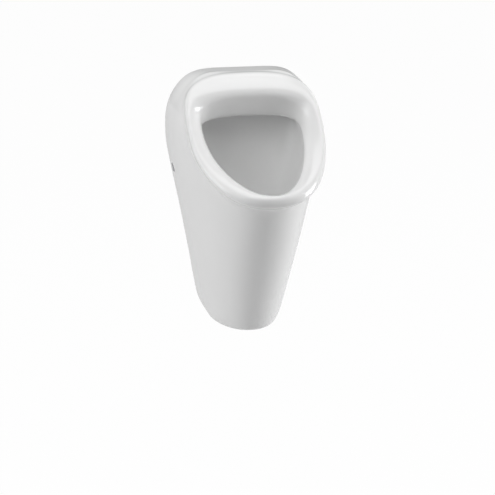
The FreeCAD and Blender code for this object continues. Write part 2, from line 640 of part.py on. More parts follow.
def drain_holes(label, ring_radius, hole_radius, number):
    """A ring of drain holes through the strainer."""
    sketch = strainer.newObject("Sketcher::SketchObject", label + "_sketch")
    sketch.AttachmentSupport = [(plane_of(strainer, "XY_Plane"), "")]
    sketch.MapMode = "FlatFace"
    far = float(sheet.evalExpression(named(ring_radius)))
    sketch.addGeometry(Part.Circle(FreeCAD.Vector(far, 0, 0), Z_AXIS, value(hole_radius)), False)
    across = sketch.addConstraint(Sketcher.Constraint("DistanceX", -1, 1, 0, 3, far))
    sketch.setExpression("Constraints[%d]" % across, named(ring_radius))
    sketch.addConstraint(Sketcher.Constraint("PointOnObject", 0, 3, -1))
    wide = sketch.addConstraint(Sketcher.Constraint("Radius", 0, value(hole_radius)))
    sketch.setExpression("Constraints[%d]" % wide, named(hole_radius))
    hole = strainer.newObject("PartDesign::Pocket", label)
    hole.Profile = sketch
    hole.Type = 1
    hole.Midplane = True
    strainer.Tip = hole
    doc.recompute()
    around = strainer.newObject("PartDesign::PolarPattern", label + "_ring")
    around.Originals = [hole]
    around.Axis = (sketch, ["N_Axis"])
    around.Angle = 360
    around.setExpression("Occurrences", named(number))
    strainer.Tip = around
    doc.recompute()


drain_holes("inner_drain", "tail_bore * 0.32", "strainer_hole", "strainer_holes * 0.5")
drain_holes("outer_drain", "tail_bore * 0.7", "strainer_hole", "strainer_holes")

waste_washer = turned("waste_washer", "Z", [
    ("-washer_thickness", "tail_radius + thread_gap"), ("-washer_thickness", "flange_radius - 4"),
    ("0", "flange_radius - 4"), ("0", "tail_radius + thread_gap")], at_waste(BOSS_FOOT))

waste_nut = nut("waste_nut", "waste_nut_radius", "tail_radius + thread_gap", "waste_nut_height",
                at_waste(BOSS_FOOT + " - washer_thickness - waste_nut_height"))

# Bottle trap, from the top down
NECK = "floor_level - neck_top_drop"
SHOULDER = NECK + " - neck_height"
SKIRT_END = SHOULDER + " - trap_height"
CUP_FLOOR = SKIRT_END + " + cup_overlap - cup_height"

trap_dip_tube = turned("trap_dip_tube", "Z", [
    ("cup_overlap - cup_height - neck_height - trap_height + trap_wall + dip_end_gap", "tail_radius + 0.4"),
    ("cup_overlap - cup_height - neck_height - trap_height + trap_wall + dip_end_gap", "tail_radius + 1.6"),
    ("0", "tail_radius + 1.6"), ("0", "neck_radius - 0.5"), ("1.5", "neck_radius - 0.5"),
    ("1.5", "tail_radius + 0.4")], at_waste(NECK))

trap_inlet_seal = turned("trap_inlet_seal", "Z", [
    ("0", "tail_radius + 0.2"), ("0", "neck_radius - 0.5"), ("2", "neck_radius - 0.5"),
    ("4", "tail_radius + 2"), ("4", "tail_radius + 0.2")], at_waste(NECK + " + 1.5"))

trap_inlet_nut = turned("trap_inlet_nut", "Z", [
    ("-16", "neck_radius + thread_gap"), ("-16", "neck_radius + 4"), ("-3", "neck_radius + 5"),
    ("6", "neck_radius + 5"), ("8.5", "neck_radius + 3"), ("8.5", "tail_radius + thread_gap"),
    ("5.8", "tail_radius + thread_gap"), ("5.8", "tail_radius + 2.4"), ("3.8", "neck_radius + thread_gap")],
    at_waste(NECK))

trap_shell = turned("trap_shell", "Z", [
    ("-neck_height - trap_height", "trap_radius - trap_wall"), ("-neck_height - trap_height", "trap_radius"),
    ("-neck_height - 5", "trap_radius"), ("-neck_height", "neck_radius + 3"), ("-neck_height", "neck_radius"),
    ("0", "neck_radius"), ("0", "neck_radius - trap_wall + 0.2"),
    ("-neck_height - trap_wall + 0.5", "neck_radius - trap_wall + 0.2"),
    ("-neck_height - trap_wall - 4", "trap_radius - trap_wall")], at_waste(NECK))
OUTLET_LEVEL = SHOULDER + " - outlet_drop"
branch_base = ("0", "-waste_depth + trap_radius - 8", OUTLET_LEVEL + " - fixing_level")
branch_length = "waste_depth - trap_radius + 8 - outlet_joint_depth"
branch = cylinder("trap_branch", "outlet_radius", branch_length, branch_base, TO_WALL)
branch_bore = cylinder("trap_branch_bore", "outlet_radius - outlet_wall - 1", branch_length,
                       branch_base, TO_WALL)
chamber = cylinder("trap_chamber", "trap_radius - trap_wall", "trap_height - 8",
                   at_waste(SKIRT_END))
branch_outside = joined("Cut", "trap_branch_cut", branch, chamber)
branch_tube = joined("Cut", "trap_branch_tube", branch_outside, branch_bore)
trap_open = joined("Cut", "trap_open", trap_shell, branch_bore)
trap_body = joined("Fuse", "trap_body", trap_open, branch_tube)

trap_base_seal = turned("trap_base_seal", "Z", [
    ("0", "trap_radius - trap_wall"), ("0", "trap_radius"), ("-1.5", "trap_radius"),
    ("-1.5", "trap_radius - trap_wall")], at_waste(SKIRT_END))

trap_base_cup = turned("trap_base_cup", "Z", [
    ("0", "0"), ("0", "cup_radius - 6"), ("6", "cup_radius"), ("cup_height", "cup_radius"),
    ("cup_height", "trap_radius + thread_gap"),
    ("cup_height - cup_overlap - 1.5", "trap_radius + thread_gap"),
    ("cup_height - cup_overlap - 1.5", "trap_radius - trap_wall"),
    ("trap_wall + 4", "trap_radius - trap_wall"), ("trap_wall", "cup_radius - 10"), ("trap_wall", "0")],
    at_waste(CUP_FLOOR))


def at_outlet(depth):
    """A place on the outlet's axis."""
    return ("0", "-" + depth, OUTLET_LEVEL + " - fixing_level")


outlet_seal = turned("outlet_seal", "Y", [
    ("0", "outlet_radius - outlet_wall - 1"), ("0", "outlet_radius + 3"), ("3", "outlet_radius + 3"),
    ("3", "outlet_radius - outlet_wall")], at_outlet("outlet_joint_depth"))

outlet_pipe = turned("outlet_pipe", "Y", [
    ("3", "outlet_radius - outlet_wall"), ("3", "outlet_radius + 3"), ("6", "outlet_radius + 3"),
    ("6", "outlet_radius - 0.6"), ("outlet_joint_depth", "outlet_radius - 0.6"),
    ("outlet_joint_depth", "outlet_radius"), ("outlet_joint_depth + outlet_into_wall - 3", "outlet_radius"),
    ("outlet_joint_depth + outlet_into_wall", "outlet_radius - 1"),
    ("outlet_joint_depth + outlet_into_wall", "outlet_radius - outlet_wall")],
    at_outlet("outlet_joint_depth"))

outlet_nut = turned("outlet_nut", "Y", [
    ("-13", "outlet_radius + thread_gap"), ("-13", "outlet_radius + 6"), ("-3", "outlet_radius + 8"),
    ("8", "outlet_radius + 8"), ("10", "outlet_radius + 6"), ("10", "outlet_radius + thread_gap"),
    ("6.2", "outlet_radius + thread_gap"), ("6.2", "outlet_radius + 3 + thread_gap"),
    ("-0.2", "outlet_radius + 3 + thread_gap"), ("-0.2", "outlet_radius + thread_gap")],
    at_outlet("outlet_joint_depth"))


def at_inlet(depth):
    """A place on the flush inlet's axis."""
    return ("0", "-(" + depth + ")", "inlet_level - fixing_level")


spreader_seal = turned("spreader_seal", "Y", [
    ("-2", "spreader_radius + 0.2"), ("-2", "spreader_head_radius"), ("0", "spreader_head_radius"),
    ("0", "spreader_radius + 0.2")], at_inlet("inlet_boss_front"))

spreader_body = turned("spreader_body", "Y", [
    ("-2 - spreader_head", "0"), ("-2 - spreader_head", "spreader_head_radius - 3"),
    ("-spreader_head", "spreader_head_radius"), ("-2", "spreader_head_radius"), ("-2", "spreader_radius"),
    ("inlet_boss_front - spreader_end", "spreader_radius"),
    ("inlet_boss_front - spreader_end", "spreader_bore"), ("0.5 - spreader_head", "spreader_bore"),
    ("0.5 - spreader_head", "0")], at_inlet("inlet_boss_front"))
slot = doc.addObject("Part::Box", "spreader_slot")
bind(slot, {"Length": "2 * spreader_head_radius + 4", "Width": "spreader_head - 5",
            "Height": "spreader_bore + 20"})
put(slot, ("-spreader_head_radius - 2", "-inlet_boss_front - spreader_head + 1",
           "inlet_level - fixing_level - spreader_bore - 22"))
spreader = joined("Cut", "spreader", spreader_body, slot)

spreader_nut = nut("spreader_nut", "coupling_radius + 1", "spreader_radius + thread_gap",
                   "spreader_nut_height", at_inlet("inlet_boss_back"), TO_WALL)

inlet_washer = turned("inlet_washer", "Y", [
    ("0", "inlet_radius - inlet_wall"), ("0", "spreader_radius"), ("1.5", "spreader_radius"),
    ("1.5", "inlet_radius - inlet_wall")], at_inlet("spreader_end"))

inlet_pipe = turned("inlet_pipe", "Y", [
    ("1.5", "inlet_radius - inlet_wall"), ("1.5", "spreader_radius"), ("3.5", "spreader_radius"),
    ("3.5", "inlet_radius - 0.3"), ("spreader_end", "inlet_radius - 0.3"), ("spreader_end", "inlet_radius"),
    ("spreader_end + inlet_into_wall - 1", "inlet_radius"),
    ("spreader_end + inlet_into_wall", "inlet_radius - 0.4"),
    ("spreader_end + inlet_into_wall", "inlet_radius - inlet_wall")], at_inlet("spreader_end"))

inlet_nut_blank = nut("inlet_nut_blank", "coupling_radius", "inlet_radius + thread_gap", "13",
                      at_inlet("spreader_end + 6.5"), TO_WALL)
inlet_nut_room = cylinder("inlet_nut_room", "spreader_radius + thread_gap", "10.2",
                          at_inlet("spreader_end + 6.5"), TO_WALL)
inlet_nut = joined("Cut", "inlet_nut", inlet_nut_blank, inlet_nut_room)


# ---------------------------------------------------------------- fixings

def wall_bracket(label, side):
    """An angle bracket: a plate on the wall with two screw holes, and an arm with one."""
    body = doc.addObject("PartDesign::Body", label)
    arm = "arm_half_spacing"
    sign = "" if side > 0 else "-"
    profile = outline(body, label + "_angle", "XY_Plane", [
        (sign + "(" + arm + " + plate - foot_width)", "0"), (sign + "(" + arm + " + plate)", "0"),
        (sign + "(" + arm + " + plate)", "-arm_depth"), (sign + arm, "-arm_depth"),
        (sign + arm, "-plate"), (sign + "(" + arm + " + plate - foot_width)", "-plate")])
    pad = body.newObject("PartDesign::Pad", label + "_pad")
    pad.Profile = profile
    pad.Midplane = True
    pad.setExpression("Length", named("foot_height"))
    doc.recompute()
    notch = outline(body, label + "_notch_sketch", "YZ_Plane", [
        ("-plate - 0.01", "arm_height * 0.5"), ("-arm_depth - 5", "arm_height * 0.5"),
        ("-arm_depth - 5", "foot_height"), ("-plate - 0.01", "foot_height")])
    pocket = body.newObject("PartDesign::Pocket", label + "_upper_notch")
    pocket.Profile = notch
    pocket.Type = 1
    pocket.Midplane = True
    doc.recompute()
    other = body.newObject("PartDesign::Mirrored", label + "_lower_notch")
    other.Originals = [pocket]
    other.MirrorPlane = (plane_of(body, "XY_Plane"), [""])
    body.Tip = other
    doc.recompute()
    holes = []
    for height in ("wall_hole_half_rise", "-wall_hole_half_rise"):
        holes.append(cylinder(label + "_hole", "wall_hole_radius", "plate + 2",
                              (sign + "wall_hole_half_spacing", "-plate - 1", height), TO_WALL))
    holes.append(cylinder(label + "_screw_hole", "screw_radius + screw_gap", "plate + 2",
                          (sign + "(" + arm + " + plate * 0.5) - plate * 0.5 - 1", "-fixing_depth", "0"),
                          TO_RIGHT))
    return joined("Cut", label, body, row_of(label + "_holes", holes))


wall_bracket_left = wall_bracket("wall_bracket_left", -1)
wall_bracket_right = wall_bracket("wall_bracket_right", 1)

ARM_FACE = "(arm_half_spacing + plate)"
HOLE_STEP = "(flank_inner - arm_half_spacing - plate)"
HEAD_SEAT = HOLE_STEP + " + 3.5 + screw_washer_thickness"


def pair(label, corners):
    """Two like pieces, one on each side screw's axis.  Corners run outwards from the bracket's arm."""
    both = []
    for side in (1, -1):
        name = label + ("_right" if side > 0 else "_left")
        body = turned(name, "X", corners, ("0", "-fixing_depth", "0"))
        if side < 0:
            body.Placement.Rotation = FreeCAD.Rotation(Z_AXIS, 180)
        put(body, (ARM_FACE if side > 0 else "-" + ARM_FACE, "-fixing_depth", "0"))
        both.append(body)
    return both


def as_one(label, items):
    """Group separate solids in one node."""
    item = doc.addObject("Part::Compound", label)
    item.Links = items
    return item


side_bushes = as_one("side_bushes", pair("bush", [
    ("0", "screw_radius + screw_gap"), ("0", "spot_radius - 0.6"), (HOLE_STEP, "spot_radius - 0.6"),
    (HOLE_STEP, "side_hole_radius - bush_gap"), (HOLE_STEP + " + 3.5", "side_hole_radius - bush_gap"),
    (HOLE_STEP + " + 3.5", "screw_radius + screw_gap")]))

screw_washers = as_one("screw_washers", pair("screw_washer", [
    (HOLE_STEP + " + 3.5", "screw_radius + screw_gap"), (HOLE_STEP + " + 3.5", "washer_radius"),
    (HEAD_SEAT, "washer_radius"), (HEAD_SEAT, "screw_radius + screw_gap")]))

side_screws = as_one("side_screws", pair("side_screw", [
    ("-plate - bracket_nut_height - 3", "0"), ("-plate - bracket_nut_height - 3", "screw_radius - 0.8"),
    ("-plate - bracket_nut_height - 2", "screw_radius"), (HEAD_SEAT, "screw_radius"),
    (HEAD_SEAT, "screw_head_radius"), (HEAD_SEAT + " + screw_head_height * 0.6", "screw_head_radius"),
    (HEAD_SEAT + " + screw_head_height", "screw_head_radius * 0.7"),
    (HEAD_SEAT + " + screw_head_height", "0")]))

CAP_FACE = "(flank_outer - arm_half_spacing - plate)"
cap_pair = pair("side_cap", [
    (CAP_FACE + " + 0.6", "0"), (CAP_FACE + " + 0.2", "side_hole_radius - cap_gap - 1.6"),
    (CAP_FACE + " - 0.8", "side_hole_radius - cap_gap"),
    (HEAD_SEAT + " + 1", "side_hole_radius - cap_gap"),
    (HEAD_SEAT + " + 1", "side_hole_radius - cap_gap - 1.2"),
    (CAP_FACE + " - cap_plate", "side_hole_radius - cap_gap - 1.2"), (CAP_FACE + " - cap_plate + 0.4", "0")])
side_cap_right, side_cap_left = cap_pair

bracket_nuts = as_one("bracket_nuts", [
    nut("bracket_nut_right", "bracket_nut_radius", "screw_radius + thread_gap", "bracket_nut_height",
        ("arm_half_spacing - bracket_nut_height", "-fixing_depth", "0"), TO_RIGHT),
    nut("bracket_nut_left", "bracket_nut_radius", "screw_radius + thread_gap", "bracket_nut_height",
        ("-arm_half_spacing", "-fixing_depth", "0"), TO_RIGHT)])

# ---------------------------------------------------------------- check and write

doc.recompute()
NODES = {
    "ceramic_body": ceramic_body, "strainer": strainer, "waste_flange": waste_flange,
    "waste_seal": waste_seal, "waste_washer": waste_washer, "waste_nut": waste_nut,
    "trap_dip_tube": trap_dip_tube, "trap_inlet_seal": trap_inlet_seal, "trap_inlet_nut": trap_inlet_nut,
    "trap_body": trap_body, "trap_base_seal": trap_base_seal, "trap_base_cup": trap_base_cup,
    "outlet_seal": outlet_seal, "outlet_pipe": outlet_pipe, "outlet_nut": outlet_nut,
    "spreader": spreader, "spreader_seal": spreader_seal, "spreader_nut": spreader_nut,
    "inlet_washer": inlet_washer, "inlet_pipe": inlet_pipe, "inlet_nut": inlet_nut,
    "wall_bracket_left": wall_bracket_left, "wall_bracket_right": wall_bracket_right,
    "side_bushes": side_bushes, "screw_washers": screw_washers, "side_screws": side_screws,
    "bracket_nuts": bracket_nuts, "side_cap_left": side_cap_left, "side_cap_right": side_cap_right,
}

for item in doc.Objects:
    if "Invalid" in item.State or "Error" in item.State:
        raise RuntimeError("%s failed: %s" % (item.Name, item.State))
for label, item in NODES.items():
    item.Label = label
    shape = item.Shape
    if shape.isNull() or not shape.isValid() or not shape.Solids:
        raise RuntimeError("%s has no valid shape" % label)

os.makedirs("parts", exist_ok=True)
for label, item in NODES.items():
    item.Shape.exportStep(os.path.join("parts", label + ".step"))
    print("%-18s %2d solid(s) %9.0f mm3" % (label, len(item.Shape.Solids), item.Shape.Volume))
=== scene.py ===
"""Wall hung urinal in white glazed china, with its waste, trap, flush inlet and side fixings."""

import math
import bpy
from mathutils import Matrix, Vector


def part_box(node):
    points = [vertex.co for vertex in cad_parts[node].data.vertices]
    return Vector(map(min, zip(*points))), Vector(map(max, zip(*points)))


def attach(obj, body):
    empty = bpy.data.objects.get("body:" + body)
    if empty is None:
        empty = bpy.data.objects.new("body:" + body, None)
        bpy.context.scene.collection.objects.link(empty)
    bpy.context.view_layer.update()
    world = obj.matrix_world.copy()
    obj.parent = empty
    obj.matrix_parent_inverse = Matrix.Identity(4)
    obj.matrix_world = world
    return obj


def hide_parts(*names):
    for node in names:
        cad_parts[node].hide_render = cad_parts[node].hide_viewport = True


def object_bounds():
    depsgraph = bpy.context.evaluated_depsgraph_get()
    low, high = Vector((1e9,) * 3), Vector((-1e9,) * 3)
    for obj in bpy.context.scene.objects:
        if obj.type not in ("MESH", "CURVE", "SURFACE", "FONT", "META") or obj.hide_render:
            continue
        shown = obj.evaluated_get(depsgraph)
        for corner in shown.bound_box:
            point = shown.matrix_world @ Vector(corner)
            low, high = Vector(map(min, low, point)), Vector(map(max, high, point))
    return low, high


bl_info = {
    "name": "Wall hung urinal",
    "version": (1, 0, 0),
    "blender": (4, 5, 0),
    "location": "View3D > Sidebar > Urinal",
    "description": "Builds the glazed china body, finishes the fittings and sets the studio",
    "category": "Object",
}

import bpy
import bmesh
from bpy.props import FloatProperty, FloatVectorProperty, IntProperty, PointerProperty
from mathutils import Matrix, Vector

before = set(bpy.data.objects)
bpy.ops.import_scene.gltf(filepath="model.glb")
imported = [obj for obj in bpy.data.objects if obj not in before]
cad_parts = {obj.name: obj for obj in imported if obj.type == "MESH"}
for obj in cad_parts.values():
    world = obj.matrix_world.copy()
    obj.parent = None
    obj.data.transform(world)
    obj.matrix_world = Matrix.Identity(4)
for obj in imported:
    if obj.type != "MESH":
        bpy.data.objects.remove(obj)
CAD_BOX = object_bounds()

MM = 0.001
FIXING_LEVEL = 335          # height of the origin above the underside, in millimetres
RING_POLES = 32             # poles round the opening
BUSH_NECK = 3.5             # length of a side bush inside its hole
SIDE_DRILL = (120, 170)     # distances from the middle between which a side hole is drilled
SPOT_START = 110            # distance from the middle where the flat spot's drill starts
DRILL_REACH = 30            # how far a drill runs past what it cuts
CLEAR = 1                   # how far the inlet's drill runs past its boss, and stops short of the wall
SMOOTH_ANGLE = 38           # degrees between faces up to which the glaze is shaded smooth

# The softboxes: name, place in metres, width, height and power in watts.  All face one point.
LAMPS = (
    ("left_front_softbox", (-2.2, -1.6, 1.65), 2.0, 2.0, 22.0),
    ("left_side_softbox", (-2.6, -0.3, 0.6), 1.6, 2.0, 27.6),
    ("right_strip", (2.3, -0.7, 0.5), 0.8, 2.0, 43.2),
    ("top_softbox", (0.0, -0.9, 2.3), 1.6, 1.6, 21.0),
    ("top_back_softbox", (0.0, 0.5, 2.4), 2.0, 1.2, 15.0),
)
LAMP_TARGET = (0.0, -0.1, 0.0)
WORLD_LIGHT = (0.9, 0.92, 0.95, 1.0)
WORLD_STRENGTH = 0.07
WHITE = (1.0, 1.0, 1.0, 1.0)
FLOOR_SIZE = 60.0           # side of the floor, in metres


# ---------------------------------------------------------------- sizes and colours

class ChinaSizes(bpy.types.PropertyGroup):
    """Driving sizes of the china, in millimetres above the underside and in front of the wall."""
    body_height: FloatProperty(name="Height", description="Height of the china", default=540)
    china_wall: FloatProperty(name="Wall", description="Thickness of the china", default=11)
    rim_half_width: FloatProperty(
        name="Rim half width", description="Half width of the rim", default=142.5)
    rim_wide_level: FloatProperty(
        name="Rim level", description="Height of the rim's widest place", default=455)
    rim_top_depth: FloatProperty(
        name="Rim top depth", description="Depth of the rim at the top", default=62)
    rim_mid_depth: FloatProperty(
        name="Rim side depth", description="Depth of the rim at its widest place", default=150)
    lip_level: FloatProperty(
        name="Lip level", description="Height of the lip's outer edge", default=331)
    lip_depth: FloatProperty(
        name="Lip depth", description="Depth of the rim at the front lip", default=324)
    rim_sway: FloatProperty(
        name="Rim sway", description="How far the rim's profile sways about its middle", default=25)
    opening_half_width: FloatProperty(
        name="Opening", description="Half width of the opening", default=104)
    opening_wide_level: FloatProperty(
        name="Opening level", description="Height of the opening's widest place", default=430)
    opening_low_level: FloatProperty(
        name="Opening foot", description="Height of the opening's edge at the lip", default=346)
    opening_mid_depth: FloatProperty(
        name="Opening side depth", description="Depth of the opening's edge at its widest place",
        default=125)
    opening_front_depth: FloatProperty(
        name="Opening front depth", description="Depth of the opening's edge at the lip",
        default=303)
    lintel_level: FloatProperty(
        name="Lintel level", description="Height of the lintel's lower edge", default=450)
    lintel_depth: FloatProperty(
        name="Lintel depth", description="Depth of the lintel's lower edge", default=80)
    bowl_half_width: FloatProperty(
        name="Bowl half width", description="Half width of the bowl", default=113)
    bowl_mid_half_width: FloatProperty(
        name="Bowl middle", description="Half width of the bowl halfway up", default=98)
    bowl_low_half_width: FloatProperty(
        name="Bowl foot", description="Half width of the bowl just above its floor", default=72)
    bowl_back_depth: FloatProperty(
        name="Bowl back", description="Depth of the bowl's back wall", default=39)
    ceiling_level: FloatProperty(
        name="Ceiling", description="Height of the bowl's ceiling", default=490)
    floor_level: FloatProperty(
        name="Bowl floor", description="Height of the bowl's floor", default=196)
    waste_depth: FloatProperty(
        name="Waste depth", description="Distance of the waste hole from the wall", default=108)
    waste_hole_radius: FloatProperty(
        name="Waste hole", description="Radius of the waste hole", default=24)
    boss_height: FloatProperty(
        name="Waste boss", description="Thickness of the china round the waste hole", default=15)
    boss_radius: FloatProperty(
        name="Boss radius", description="Radius of the flat place round the waste hole", default=47)
    seat_radius: FloatProperty(
        name="Waste seat", description="Radius of the recess that seats the waste", default=40)
    seat_depth: FloatProperty(
        name="Waste seat depth", description="Depth of that recess", default=2)
    inlet_level: FloatProperty(
        name="Inlet level", description="Height of the flush inlet", default=468)
    inlet_hole_radius: FloatProperty(
        name="Inlet hole", description="Radius of the flush inlet's hole", default=11)
    inlet_boss_radius: FloatProperty(
        name="Inlet boss", description="Radius of the boss round the inlet", default=17)
    inlet_boss_front: FloatProperty(
        name="Boss front", description="Depth of the boss's front face", default=46)
    inlet_boss_back: FloatProperty(
        name="Boss back", description="Depth of the boss's back face", default=25)
    side_hole_radius: FloatProperty(
        name="Side hole", description="Radius of the holes in the flanks", default=10)
    spot_radius: FloatProperty(
        name="Side spot", description="Radius of the flat spot inside each side hole", default=14)
    smoothness: IntProperty(
        name="Smoothness", description="Subdivision levels of the china", default=3, min=1, max=4)


class FinishColours(bpy.types.PropertyGroup):
    """Colours of the finishes."""
    glaze: FloatVectorProperty(
        name="Glaze", description="White glaze", subtype="COLOR", default=(0.86, 0.86, 0.857))
    chrome: FloatVectorProperty(
        name="Chrome", description="Chrome plate", subtype="COLOR", default=(0.80, 0.81, 0.83))
    # Painted shade: the side caps' chrome is made dark so that it stands for the shadow in the gap round
    # each cap.
    painted_shade_cap: FloatVectorProperty(
        name="Cap", description="Dark chrome of the side caps",
        subtype="COLOR", default=(0.40, 0.40, 0.42))
    rubber: FloatVectorProperty(
        name="Rubber", description="Black rubber", subtype="COLOR", default=(0.018, 0.018, 0.019))
    brass: FloatVectorProperty(
        name="Brass", description="Machined brass", subtype="COLOR", default=(0.78, 0.57, 0.27))
    copper: FloatVectorProperty(
        name="Copper", description="Drawn copper pipe", subtype="COLOR", default=(0.82, 0.45, 0.30))
    trap_plastic: FloatVectorProperty(
        name="Trap plastic", description="White moulded plastic",
        subtype="COLOR", default=(0.72, 0.72, 0.70))
    pipe_grey: FloatVectorProperty(
        name="Waste pipe", description="Grey waste pipe",
        subtype="COLOR", default=(0.25, 0.26, 0.27))
    zinc: FloatVectorProperty(
        name="Zinc", description="Zinc plated steel", subtype="COLOR", default=(0.62, 0.63, 0.62))
    nylon: FloatVectorProperty(
        name="Nylon", description="Natural nylon", subtype="COLOR", default=(0.72, 0.69, 0.60))
    floor: FloatVectorProperty(
        name="Floor", description="Pale studio floor", subtype="COLOR", default=(0.70, 0.70, 0.70))


class StudioSettings(bpy.types.PropertyGroup):
    """The camera, the floor and the lamps."""
    camera_place: FloatVectorProperty(
        name="Camera", description="Place of the camera",
        subtype="TRANSLATION", default=(-0.65526, -2.63277, 0.76097))
    camera_yaw: FloatProperty(
        name="Yaw", description="How far the camera stands to the left",
        subtype="ANGLE", default=math.radians(14.5))
    camera_pitch: FloatProperty(
        name="Pitch", description="How far the camera looks down",
        subtype="ANGLE", default=math.radians(19.5))
    camera_roll: FloatProperty(
        name="Roll", description="Roll of the camera", subtype="ANGLE", default=math.radians(1.0))
    lens: FloatProperty(
        name="Lens", description="Focal length on a 36 mm wide sensor",
        default=36.0 * 1300.0 / 495.0)
    floor_drop: FloatProperty(
        name="Floor drop", description="Distance of the floor below the china",
        subtype="DISTANCE", default=0.32)


# ---------------------------------------------------------------- shader expressions

class Wire:
    """A socket or a number in a material, with arithmetic that adds Math nodes."""

    def __init__(self, paint, source):
        self.paint = paint
        self.source = source

    def _math(self, operation, other):
        return self.paint.node("ShaderNodeMath", {"operation": operation}, {0: self, 1: other})

    def __add__(self, other):
        return self._math("ADD", other)

    def __mul__(self, other):
        return self._math("MULTIPLY", other)

    __radd__ = __add__
    __rmul__ = __mul__


class Paint:
    """One node-based material."""

    def __init__(self, name):
        self.material = bpy.data.materials.new(name)
        self.material.use_nodes = True
        self.tree = self.material.node_tree
        self.tree.nodes.clear()
        self.output = self.tree.nodes.new("ShaderNodeOutputMaterial")
        self.place = self.node("ShaderNodeTexCoord", {}, {}, "Object")

    def node(self, kind, settings, inputs, result=0):
        """Add a node: its settings first, then the values or links of its sockets."""
        node = self.tree.nodes.new(kind)
        for key, value in settings.items():
            if key == "stops":
                self._ramp(node.color_ramp, value)
            else:
                setattr(node, key, value)
        for key, value in inputs.items():
            socket = node.inputs[key]
            if isinstance(value, Wire):
                self.tree.links.new(value.source, socket)
            else:
                socket.default_value = value
        return Wire(self, node.outputs[result])

    @staticmethod
    def _ramp(ramp, stops):
        while len(ramp.elements) < len(stops):
            ramp.elements.new(0.5)
        for element, (place, level) in zip(ramp.elements, stops):
            element.position = place
            element.color = (level, level, level, 1.0)

    def noise(self, scale, detail=2.0, roughness=0.5, stretch=(1.0, 1.0, 1.0)):
        """Smooth noise of a scale, in cells per metre, stretched along the axes."""
        mapped = self.node("ShaderNodeMapping", {}, {
            "Vector": self.place, "Scale": stretch}, "Vector")
        return self.node("ShaderNodeTexNoise", {}, {
            "Vector": mapped, "Scale": scale, "Detail": detail, "Roughness": roughness}, "Fac")

    def levels(self, wire, *stops):
        """Map a value through a ramp of (place, level) stops."""
        return self.node("ShaderNodeValToRGB", {"stops": stops}, {"Fac": wire}, "Color")

    def tint(self, colour, other, share):
        """Mix two colours by a share."""
        return self.node("ShaderNodeMix", {"data_type": "RGBA"}, {
            "Factor": share, 6: (*colour, 1.0), 7: (*other, 1.0)}, 2)

    def bump(self, height, strength, distance):
        """A bump from a height."""
        return self.node("ShaderNodeBump", {}, {
            "Strength": strength, "Distance": distance, "Height": height}, "Normal")

    def surface(self, **sockets):
        """Finish with a Principled surface, its sockets named in words joined by underscores."""
        named = {key.replace("_", " "): value for key, value in sockets.items()}
        shader = self.node("ShaderNodeBsdfPrincipled", {}, named, "BSDF")
        self.tree.links.new(shader.source, self.output.inputs["Surface"])
        return self.material


def shade(colour, factor):
    """A colour made lighter or darker."""
    return tuple(min(1.0, channel * factor) for channel in colour)


def glaze_material(colours):
    """White glaze over vitreous china: glossy, with the faint swell that a fired glaze has."""
    paint = Paint("white_glaze")
    cloud = paint.levels(paint.noise(5.0, 3.0), (0.3, 0.0), (0.7, 1.0))
    speck = paint.levels(paint.noise(900.0, 1.0), (0.74, 0.0), (0.80, 1.0))
    body = paint.tint(colours.glaze, shade(colours.glaze, 0.985), cloud)
    swell = paint.noise(9.0, 1.0) * 0.7 + paint.noise(34.0, 1.0) * 0.12
    peel = paint.noise(420.0, 1.0) * 0.006
    return paint.surface(
        Base_Color=body, Roughness=0.09 + 0.05 * cloud + speck * 0.03, IOR=1.5,
        Normal=paint.bump(swell + peel, 0.25, 0.002))


def metal_material(name, colour, roughness, brush=None):
    """Plated or bare metal with fine marks."""
    paint = Paint(name)
    marks = paint.noise(160.0, 3.0, 0.6, brush or (1.0, 1.0, 1.0))
    fine = paint.noise(1400.0, 2.0, 0.5, brush or (1.0, 1.0, 1.0))
    worn = paint.levels(paint.noise(24.0, 4.0), (0.45, 0.0), (0.75, 1.0))
    return paint.surface(
        Base_Color=paint.tint(colour, shade(colour, 0.86), worn * 0.5), Metallic=1.0,
        Roughness=roughness + marks * 0.10 + worn * 0.05, Normal=paint.bump(fine, 0.12, 0.0004))


def plastic_material(name, colour, roughness):
    """Moulded plastic with a fine even grain."""
    paint = Paint(name)
    grain = paint.noise(1100.0, 2.0)
    flow = paint.levels(paint.noise(12.0, 2.0), (0.35, 0.0), (0.7, 1.0))
    return paint.surface(
        Base_Color=paint.tint(colour, shade(colour, 0.93), flow),
        Roughness=roughness + grain * 0.12, IOR=1.49, Normal=paint.bump(grain, 0.18, 0.0004))


def rubber_material(colours):
    """Black rubber, slightly dusty."""
    paint = Paint("black_rubber")
    dust = paint.levels(paint.noise(60.0, 4.0), (0.4, 0.0), (0.8, 1.0))
    grain = paint.noise(900.0, 3.0)
    return paint.surface(
        Base_Color=paint.tint(colours.rubber, (0.06, 0.06, 0.058), dust),
        Roughness=0.62 + grain * 0.2, Normal=paint.bump(grain, 0.25, 0.0005))


def floor_material(colours):
    """Pale floor that takes the shadow and is seen, also in gloss, as nearly white."""
    paint = Paint("pale_floor")
    matt = paint.node("ShaderNodeBsdfDiffuse", {}, {"Color": (*colours.floor, 1.0)})
    white = paint.node("ShaderNodeEmission", {}, {"Color": WHITE, "Strength": 1.0})
    path = [paint.node("ShaderNodeLightPath", {}, {}, kind + " Ray")
            for kind in ("Is Camera", "Is Glossy", "Is Transmission")]
    share = path[0] * 0.98 + path[1] * 0.5 + path[2] * 0.5
    mixed = paint.node("ShaderNodeMixShader", {}, {"Fac": share, 1: matt, 2: white})
    paint.tree.links.new(mixed.source, paint.output.inputs["Surface"])
    return paint.material


# ---------------------------------------------------------------- helpers for modelling

def deselect():
    """Leave edit mode with nothing selected."""
    if bpy.context.object and bpy.context.object.mode != "OBJECT":
        bpy.ops.object.mode_set(mode="OBJECT")
    bpy.ops.object.select_all(action="DESELECT")


def activate(piece):
    """Select one object alone and make it active."""
    deselect()
    piece.select_set(True)
    bpy.context.view_layer.objects.active = piece


